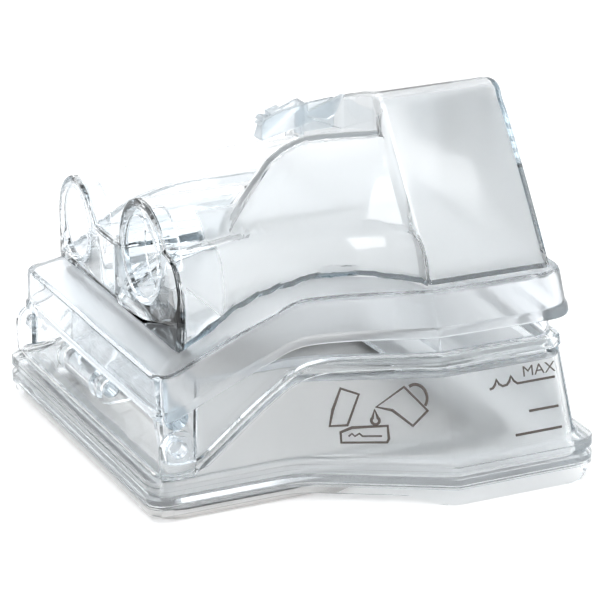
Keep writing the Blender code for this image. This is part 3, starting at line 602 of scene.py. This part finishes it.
letters = bpy.data.curves.new("maximum_word", "FONT")
letters.body = "MAX"
letters.extrude = 0.01
letters_holder = bpy.data.objects.new("maximum_word_text", letters)
word = bpy.data.objects.new("maximum_word", bpy.data.meshes.new_from_object(letters_holder))
bpy.data.objects.remove(letters_holder)
scene.collection.objects.link(word)
word_start, word_base, word_length, word_rise = 109.6, 26.7, 10.9, 2.9
word_width = max(v.co.x for v in word.data.vertices)
word_height = max(v.co.y for v in word.data.vertices)
for vert in word.data.vertices:
    u = word_start + word_length * vert.co.x / word_width
    w = word_base + word_rise * vert.co.y / word_height
    vert.co = front_wall(u, w, 0.03 + vert.co.z)
word.data.materials.clear()
word.data.materials.append(ink)
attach(word, "base")


# Heater plate
# A shallow tray that passes the heat to the water: stainless sheet, brushed along its length.
# Drawn in a press, and clamped with its seal under the opening in the floor.
def dress(node, surface):
    """Gives a CAD node its finish."""
    cad[node].data.materials.clear()
    cad[node].data.materials.append(surface)


steel_grey = (0.60, 0.59, 0.58, 1.0)
brush_scale = (30.0, 2500.0, 400.0)
steel, steel_nodes, steel_links = new_material("brushed_steel")
steel_shader = steel_nodes["Principled BSDF"]
steel_shader.inputs["Base Color"].default_value = steel_grey
steel_shader.inputs["Metallic"].default_value = 1.0
brushing = grain(steel_nodes, steel_links, 1.0, detail=4.0, stretch=brush_scale)
relief(steel_nodes, steel_links, brushing, 0.25, 0.0002)
steel_links.new(ranged(steel_nodes, steel_links, brushing, 0.25, 0.45), steel_shader.inputs["Roughness"])
dress("heater_plate", steel)


# Seals
# Two rings of milky, matt silicone, moulded in one piece each.
# One is clamped between the plate and the floor, the other sits on the tank wall under the lid.
def silicone(name, tint):
    """Matt milky silicone with a fine skin."""
    made, nodes, links = new_material(name)
    shader = nodes["Principled BSDF"]
    shader.inputs["Base Color"].default_value = (*tint, 1.0)
    shader.inputs["Roughness"].default_value = 0.55
    shader.inputs["Transmission Weight"].default_value = 0.6
    relief(nodes, links, grain(nodes, links, 1500.0), 0.2, 0.0002)
    return made


dress("plate_seal", silicone("plate_silicone", (0.55, 0.56, 0.57)))
dress("lid_seal", silicone("lid_silicone", (0.90, 0.92, 0.93)))

# Hinge pins, rod and carrier
# Two round-headed pins through the ears, the rod between its brackets, and the lid's web with its hook.
# Polished clear plastic, moulded, and snapped together so that the lid swings on the pins.
hinge_plastic = clear_plastic(
    "hinge_plastic", (0.965, 0.975, 0.985), polished=0.06, satin=0.3, ripple=0.03, ripple_size=120.0,
    milk=0.0,
)
for node in ("hinge_rod", "near_hinge_pin", "far_hinge_pin", "hinge_carrier"):
    dress(node, hinge_plastic)

# Port collars and air guide
# Rings round the two air ports, and the plate that hangs under the bridge to part the air.
# Polished clear plastic, moulded with the lid.
# Its tint is a little greyer than the upper lid's plastic: painted shade that darkens the lid ring's band.
lid_plastic = clear_plastic(
    "lid_plastic", (0.955, 0.97, 0.985), polished=0.03, satin=0.30, ripple=0.04, ripple_size=60.0,
    milk=0.08,
)
for node in ("near_port_collar", "far_port_collar", "air_guide"):
    dress(node, lid_plastic)

# Lid ring
# Cheeks, skirt, band and ledge, moulded in one with the walls above. Clear plastic, satin on the ledge and
# on the band, which stands proud like a finger rail round the front and is polished at the port end.
port_plane, end_plane = 16.8, 124.0
far_wall, block_near = 109.8, -3.2
straight_from, block_start = 24.4, 84.5
port_ledge, port_step = 36.3, 2.0
cheek_width = 7.0
panel_foot, least_panel, panel_gap = 23.0, 11.9, 0.3
band_height, band_lip, band_end, most_reach = 12.9, 0.9, 5.6, 6.1
lid_corner = 9.0
clear_until = 6.0


def read(value, places, heights, spread=3.0):
    """Reading between the stations of a curve, softened over a few millimetres."""
    total = 0.0
    steps = (-1.0, -0.75, -0.5, -0.25, 0.0, 0.25, 0.5, 0.75, 1.0)
    for step in steps:
        here = min(max(value + spread * step, places[0]), places[-1])
        k = max(i for i in range(len(places) - 1) if places[i] <= here)
        share = (here - places[k]) / (places[k + 1] - places[k])
        total += heights[k] + (heights[k + 1] - heights[k]) * min(share, 1.0)
    return total / len(steps)


def read_straight(value, places, heights):
    """Reading between the stations of a curve, without softening."""
    k = max(i for i in range(len(places) - 1) if places[i] <= max(value, places[0]))
    share = (value - places[k]) / (places[k + 1] - places[k])
    return heights[k] + (heights[k + 1] - heights[k]) * min(max(share, 0.0), 1.0)


def band_top(u):
    """Top of the band's S-curve along the near side."""
    places = (0, 5.2, 14.3, 28.6, 45.5, 57.2, 130)
    return read(u, places, (port_ledge, port_ledge, 40.6, 46.7, 53.2, 54.5, 53.9), 7.0)


def foot_height(u):
    """Height of the ledge where the upper walls stand on it."""
    places = (0, 16.9, 20.8, 37, 48.1, 57.2, 80.6, 130)
    return read(u, places, (port_ledge, 37.0, 39.0, 50.0, 53.0, 54.5, 54.2, 53.7), 5.0)


def foot_depth(u):
    """Depth at which the upper near wall stands on the ledge."""
    if u > 83.9:
        return block_near
    places = (0, 16.9, 37, 48.1, 57.2, 66.3, 75.4, 80.6, 85.0)
    return read(u, places, (18.9, 18.9, 18.0, 16.9, 15.8, 14.0, 9.6, 4.8, -2.2))


def port_end(u, v):
    """Whether a place belongs to the straight panel at the port end, between the cheeks."""
    return u < port_plane and cheek_width < v < depth - cheek_width


def band_high(u, v):
    """Top of the band all round."""
    if v > depth / 2:
        return foot_height(u)
    return port_ledge if port_end(u, v) else band_top(u)


def panel_low(u, v):
    """Lower edge of the cheeks and the skirt, just above the base's rim."""
    return panel_foot if port_end(u, v) else max(rim_height(u), least_panel) + panel_gap


def band_low(u, v):
    """Underside of the band."""
    if port_end(u, v):
        return panel_foot + band_lip
    return max(band_high(u, v) - band_height, panel_low(u, v) + band_lip)


def lid_plan(inset, line, lift=0.0, end_reach=band_end):
    """Row of the lid ring: each point leans with the wall up to its own height."""
    port = port_step + inset
    sides = {"near": inset, "end": max(inset - end_reach, -most_reach), "corner": lid_corner}
    low = wall_plan(flange_top, port=port, **sides)
    high = wall_plan(rim_top, port=port - port_lean * (rim_top - flange_top), **sides)
    row = []
    for first, last in zip(low, high):
        w = line(first.x, first.y) + lift
        point = first.lerp(last, (w - flange_top) / (rim_top - flange_top))
        row.append(at(point.x, point.y, w))
    return row


def ledge_plan(inset, drop=0.0):
    """Row of the ledge's inner edge, just inside the foot of the upper walls."""
    outline = wall_plan(flange_top)
    first = min(point.x for point in outline)
    last = max(point.x for point in outline)
    top = max(point.y for point in outline)
    places = (first, straight_from, block_start, last)
    moved_to = (port_plane + inset, straight_from, block_start, end_plane - inset)
    row = []
    for point in outline:
        u = read_straight(point.x, places, moved_to)
        near = near_line(point.x)
        across = min(max((point.y - near) / (top - near), 0.0), 1.0)
        inner = foot_depth(u) + inset
        row.append(at(u, inner + (far_wall - inset - inner) * across, foot_height(u) - drop))
    return row


band_rows = range(3, 10)
ledge_rows = range(11, 14)
lid_ring = moulded_ring("lid_ring", [
    lid_plan(0.7, panel_low, end_reach=0.0),
    lid_plan(0.7, band_low, lift=-0.4, end_reach=0.0),
    lid_plan(0.2, band_low, lift=-0.2),
    lid_plan(-0.4, band_low, lift=0.1),
    lid_plan(-0.7, band_low, lift=0.5),
    lid_plan(-0.7, band_low, lift=2.2),
    lid_plan(-0.5, band_low, lift=2.6),
    lid_plan(-0.2, band_low, lift=2.9),
    lid_plan(-0.2, band_high, lift=-1.4),
    lid_plan(0.0, band_high, lift=-0.5),
    lid_plan(0.5, band_high, lift=-0.1),
    lid_plan(1.2, band_high),
    ledge_plan(2.5),
    ledge_plan(2.5, drop=2.0),
    lid_plan(2.2, band_high, lift=-2.0),
    lid_plan(2.2, band_low, lift=2.4),
    lid_plan(2.2, band_low, lift=1.6, end_reach=0.0),
    lid_plan(2.5, panel_low, end_reach=0.0),
], satin_rows=(*band_rows, *ledge_rows), clear_rows=band_rows, clear_before=at(clear_until, 0, 0).x)
# the ring's plastic is tinted a little greyer than the upper lid's, as painted shade on the band
lid_ring.data.materials.append(lid_plastic)
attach(lid_ring, "lid")
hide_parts("lid_shell")


# Upper lid
# The port hood with its two tunnels, the recessed middle and the tall block, as one thin clear moulding.
# Polished, but with a satin on the near faces, over the middle's crest and on the block's left wall.
fan, near_count, roof_count = 260, 34, 110
face_steps, roof_steps, arch_steps = 12, 8, 18
crest_rows = 7
fan_centre_v = 64.0
middle_start = 30
left_wall = (84.0, 87.0)
near_port, near_arch, near_hole = (45.5, 58.7), 16.7, 14.4
far_port, far_arch, far_hole = (95.8, 53.2), 14.0, 12.3
bridge = (62.3, 56.8)
hood_start, shoulder_rise, rise_length, far_lift, lift_length = 17.0, 4.0, 18.0, 3.0, 76.0
hood_ridge = (26.5, 69.0)
block_ridge = (27.6, 97.4)
full_crest_u = 84.0
roof_edge, roof_fall, roof_delay = 97.0, 22.0, 30.0
blend = 2.4
block_first, block_round, end_round = 84.3, 2.6, 1.8
wall_skew, skew_from, skew_depth, skew_reach = 7.0, 32.0, 36.0, 22.0
wall_thickness = 1.8
foot_gap = 0.03


def hood_profile(u, inset):
    """The two tunnels and the bridge between them, from the near foot to the far foot."""
    rise = shoulder_rise * min(max((u - hood_start) / rise_length, 0.0), 1.0)
    lift = far_lift * min(max((u - hood_start) / lift_length, 0.0), 1.0)
    foot = foot_height(u)
    foot_v = foot_depth(u)
    leg = [(0.0, foot), (-1.0, foot + 5.0), (-1.3, foot + 0.45 * (64.0 - foot)), (-0.4, 55.0 + rise)]
    leg += [(1.5, 60.0 + rise), (4.6, 63.6 + rise), (7.6, 65.0 + rise)]
    outline = [(foot_v + out + inset, w - inset * 0.4) for out, w in leg]
    near_radius = near_arch - inset
    outline += arc_points(near_port[0], near_port[1], near_radius, near_radius, 155.0, 0.0, arch_steps)
    outline.append((bridge[0] - inset, bridge[1] - inset))
    far_radius = far_arch - inset
    outline += arc_points(far_port[0], far_port[1] + lift, far_radius, far_radius, 165.0, 0.0, arch_steps)
    return outline + [(far_wall - inset, 53.0 + lift), (far_wall - inset, foot)]


def crest_height(u):
    """Height of the crest between the middle's leaning face and its roof."""
    places = (middle_start, 36, 43.6, 50.2, 55.6, 62.2, 75, 84)
    return read_straight(u, places, (58.0, 68.0, 79.0, 87.4, 90.6, 92.4, 92.3, 92.0))


def middle_profile(u, inset):
    """The recessed middle: a leaning face, a crest that climbs from the hood's shoulder, and a roof that
    climbs later toward the far side, so that the far tunnel stays its own ridge for longer."""
    crest = crest_height(u) - inset
    crest_v = read_straight(u, (middle_start, 62.2, 75, 84), (30, 30, 28, 26.5)) + inset * 0.4
    foot = foot_height(u)
    foot_v = foot_depth(u) + inset
    outline = []
    for k in range(face_steps):
        share = k / face_steps * 0.97
        v = foot_v + (crest_v - foot_v) * share + 1.6 * math.sin(math.pi * share)
        outline.append((v, foot + (crest - 2.0 - foot) * share))
    outline += [(crest_v - 0.5, crest - 1.2), (crest_v + 0.3, crest - 0.4), (crest_v + 1.4, crest)]
    outline += [(crest_v + 2.0, crest + 0.1)]
    full_crest = crest_height(full_crest_u)
    for k in range(1, roof_steps + 1):
        share = k / roof_steps
        v = crest_v + 2.0 + (roof_edge - crest_v - 2.0) * share
        climb = crest_height(max(u - roof_delay * share, middle_start)) - full_crest
        roof = full_crest + climb - roof_fall * share - inset
        outline.append((v, max(roof, foot + 0.2 * (1.0 - share))))
    return outline + [(109.0 - inset, foot + 0.1), (far_wall - inset, foot)]


def block_profile(u, inset):
    """The tall block: a face that leans back, a round crest, and a roof that falls in two slopes."""
    foot = foot_height(u)
    outline = []
    for k in range(face_steps):
        share = k / face_steps
        v = block_near + inset + 30.6 * share - 0.6 * math.sin(math.pi * share)
        outline.append((v, foot + (97.2 - foot) * share))
    outline += [(block_ridge[0] + inset, block_ridge[1] - inset), (29.0 + inset * 0.6, 99.8 - inset)]
    outline += [(30.8 + inset * 0.4, 101.0 - inset)]
    roof = ((33.0, 101.4), (36.0, 101.1), (52.0, 96.4), (68.0, 90.9), (85.0, 83.6), (100.0, 76.0))
    outline += [(v, w - inset) for v, w in roof]
    return outline + [(far_wall - inset, 68.0 - inset), (far_wall - inset, foot)]


def fan_reach(outline, centre, angle):
    """Distance from the centre to the outline along one ray."""
    ray = Vector((math.cos(angle), math.sin(angle)))
    best = 0.0
    for first, last in zip(outline, outline[1:]):
        a = Vector(first) - centre
        side = Vector(last) - Vector(first)
        cross = ray.x * side.y - ray.y * side.x
        if abs(cross) < 1e-9:
            continue
        along = (a.x * side.y - a.y * side.x) / cross
        share = (a.x * ray.y - a.y * ray.x) / cross
        if along > 0 and -1e-6 <= share <= 1 + 1e-6:
            best = max(best, along)
    return best


def section(u, inset, kind):
    """Outline of the upper lid at one station: the hood and the middle grow into each other."""
    foot = foot_height(u)
    centre = Vector((fan_centre_v, foot - 0.01))
    if kind == "block":
        shapes = [block_profile(u, inset)]
        ridge = Vector((block_ridge[0] + inset, block_ridge[1] - inset))
    else:
        shapes = [hood_profile(u, inset)]
        ridge = Vector((hood_ridge[0] + inset, hood_ridge[1] - inset))
        if u > middle_start:
            shapes.append(middle_profile(u, inset))
        if u > 36:
            ridge = Vector(middle_profile(u, inset)[face_steps])
    rays = []
    for k in range(fan + 1):
        angle = math.pi * (1 - k / fan)
        reaches = [fan_reach(shape, centre, angle) for shape in shapes]
        reach_here = max(reaches)
        if len(reaches) == 2:
            soft = max(blend - abs(reaches[0] - reaches[1]), 0.0)
            reach_here += soft * soft / (4 * blend)
        rays.append(centre + Vector((math.cos(angle), math.sin(angle))) * reach_here)
    turn = math.atan2(ridge.y - centre.y, ridge.x - centre.x)
    split = round((1 - turn / math.pi) * fan)
    return spaced(rays[:split + 1], near_count) + spaced(rays[split:], roof_count)[1:]


def spaced(points, count):
    """The same line with evenly spaced points."""
    lengths = [0.0]
    for a, b in zip(points, points[1:]):
        lengths.append(lengths[-1] + (b - a).length)
    made = []
    k = 0
    for i in range(count + 1):
        goal = lengths[-1] * i / count
        while k < len(points) - 2 and lengths[k + 1] < goal:
            k += 1
        share = (goal - lengths[k]) / max(lengths[k + 1] - lengths[k], 1e-9)
        made.append(points[k].lerp(points[k + 1], min(share, 1.0)))
    return made


def skew(u, v):
    """The block's left wall runs back at an angle, further out at the rear."""
    back_share = min(max((v - skew_from) / skew_depth, 0.0), 1.0)
    near_step = max(0.0, 1.0 - abs(u - block_start) / skew_reach)
    return u + wall_skew * back_share * near_step


# each station: its place along the tub, how far the outline is set in, and the kind of profile
stations = [(port_plane, 0.5, "hood"), (hood_start, 0.2, "hood"), (17.5, 0.0, "hood")]
stations += [(18.5 + 1.25 * k, 0.0, "hood") for k in range(52)]
stations += [(83.6, 0.0, "hood"), (84.0, 0.0, "hood")]
for turn in (80, 60, 40, 20, 0):
    angle = math.radians(turn)
    set_in = block_round * (1 - math.cos(angle))
    stations.append((block_first + block_round * (1 - math.sin(angle)), set_in, "block"))
stations += [(88.0 + 2.0 * k, 0.0, "block") for k in range(17)]
for turn in (0, 20, 40, 60, 80):
    angle = math.radians(turn)
    set_in = end_round * (1 - math.cos(angle))
    stations.append((end_plane - end_round + end_round * math.sin(angle), set_in, "block"))
sections = [section(u, inset, kind) for u, inset, kind in stations]

bm = bmesh.new()
columns = len(stations) - 1
points_across = near_count + roof_count
bmesh.ops.create_grid(bm, x_segments=columns, y_segments=points_across, size=0.5)
face_layer = bm.verts.layers.float.new("face")
for vert in bm.verts:
    i = round((vert.co.x + 0.5) * columns)
    j = round((vert.co.y + 0.5) * points_across)
    u = stations[i][0]
    near_face = j <= near_count + crest_rows and u > middle_start
    vert[face_layer] = 1.0 if near_face or left_wall[0] <= u < left_wall[1] else 0.0
    v, w = sections[i][j]
    if j in (0, points_across):
        w = foot_height(u) + foot_gap
    vert.co = at(skew(u, v), v, w)
# the port face, with its two round openings, and the outer end
edges = [e for e in bm.edges if e.is_boundary]
port_x = at(port_plane, 0, 0).x
end_x = max(v.co.x for v in bm.verts)
port_rim = [e for e in edges if all(abs(v.co.x - port_x) < 1e-7 for v in e.verts)]
end_rim = [e for e in edges if all(abs(v.co.x - end_x) < 1e-7 for v in e.verts)]
for rim in (port_rim, end_rim):
    corners = dict.fromkeys(v for e in rim for v in e.verts)
    rim.append(bm.edges.new([v for v in corners if sum(e in rim for e in v.link_edges) == 1]))
hole_edges = []
for (v, w), radius in ((near_port, near_hole), (far_port, far_hole)):
    made = bmesh.ops.create_circle(bm, segments=64, radius=radius * MM)
    turn = Matrix.Translation(at(port_plane, v, w)) @ Matrix.Rotation(math.pi / 2, 4, "Y")
    bmesh.ops.transform(bm, matrix=turn, verts=made["verts"])
    hole_edges += list(dict.fromkeys(e for vert in made["verts"] for e in vert.link_edges))
bmesh.ops.triangle_fill(bm, use_beauty=True, edges=port_rim + hole_edges, normal=(-1, 0, 0))
bmesh.ops.triangle_fill(bm, use_beauty=True, edges=end_rim, normal=(1, 0, 0))
bmesh.ops.recalc_face_normals(bm, faces=bm.faces)
upper_lid = finished_piece("upper_lid", bm, 38.0)
wall = upper_lid.modifiers.new("wall", "SOLIDIFY")
wall.thickness = wall_thickness * MM
wall.offset = -1.0
upper_lid.vertex_groups.new(name="inside")
wall.shell_vertex_group = "inside"
upper_lid.data.materials.append(clear_plastic(
    "upper_lid_plastic", (0.975, 0.985, 0.99), polished=0.03, satin=0.30, ripple=0.04, ripple_size=60.0,
    milk=0.42, satin_places=("inside", "face"),
))
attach(upper_lid, "lid")
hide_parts("lid_shell")

# Rear brow
# An upright lip on the middle's roof with a rounded end and a thumb notch, backed by a second wall.
# Clear plastic with a satin skin, moulded in one with the lid, but tinted greyer than the lid as painted
# shade.
def upright(bm, outline, near_v, far_v):
    """Extrudes an outline of (u, w) points from one depth to another."""
    verts = [bm.verts.new(at(u, near_v, w)) for u, w in outline]
    face = bmesh.ops.contextual_create(bm, geom=verts)["faces"][0]
    grown = bmesh.ops.extrude_face_region(bm, geom=[face])["geom"]
    moved = [g for g in grown if isinstance(g, bmesh.types.BMVert)]
    bmesh.ops.translate(bm, verts=moved, vec=(0, (far_v - near_v) * MM, 0))


front_wall_outline = [(64.6, 80.6), (64.6, 84.6), (65.0, 85.9), (66.0, 87.0), (68.0, 87.9), (72.0, 89.0)]
front_wall_outline += [(79.2, 90.2), (79.5, 87.6), (80.2, 85.6), (81.4, 84.3), (83.0, 83.9), (86.0, 84.3)]
front_wall_outline += [(88.2, 85.3), (89.4, 87.2), (90.0, 91.0), (91.2, 91.3), (91.2, 80.4)]
back_wall_outline = [(78.4, 79.2), (78.4, 87.5), (84.0, 88.1), (91.2, 88.6), (91.2, 79.2)]
notch_side_outline = [(78.0, 80.0), (78.0, 90.0), (79.0, 90.1), (79.0, 80.0)]
round_end_outline = [(64.6, 80.2), (64.6, 84.6), (65.0, 85.9), (66.0, 87.0), (68.0, 87.9), (72.0, 89.0)]
round_end_outline += [(77.9, 90.0), (77.9, 88.8), (72.0, 87.8), (68.4, 86.7), (66.7, 85.9), (66.0, 84.6)]
round_end_outline += [(66.0, 80.2)]
bm = bmesh.new()
upright(bm, front_wall_outline, 66.0, 67.6)
upright(bm, back_wall_outline, 72.6, 74.0)
upright(bm, notch_side_outline, 67.7, 72.5)
upright(bm, round_end_outline, 67.7, 72.5)
bmesh.ops.recalc_face_normals(bm, faces=bm.faces)
brow = finished_piece("brow", bm)
soft = brow.modifiers.new("soft_edges", "BEVEL")
soft.width = 0.25 * MM
soft.segments = 2
soft.limit_method = "ANGLE"
# The brow's tint is greyer than the rest of the lid's plastic: painted shade for the grey the brow shows.
brow.data.materials.append(clear_plastic(
    "brow_shaded_plastic", (0.87, 0.91, 0.935), polished=0.3, satin=0.3, ripple=0.04, ripple_size=60.0,
    milk=0.0,
))
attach(brow, "lid")
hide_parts("rear_brow")
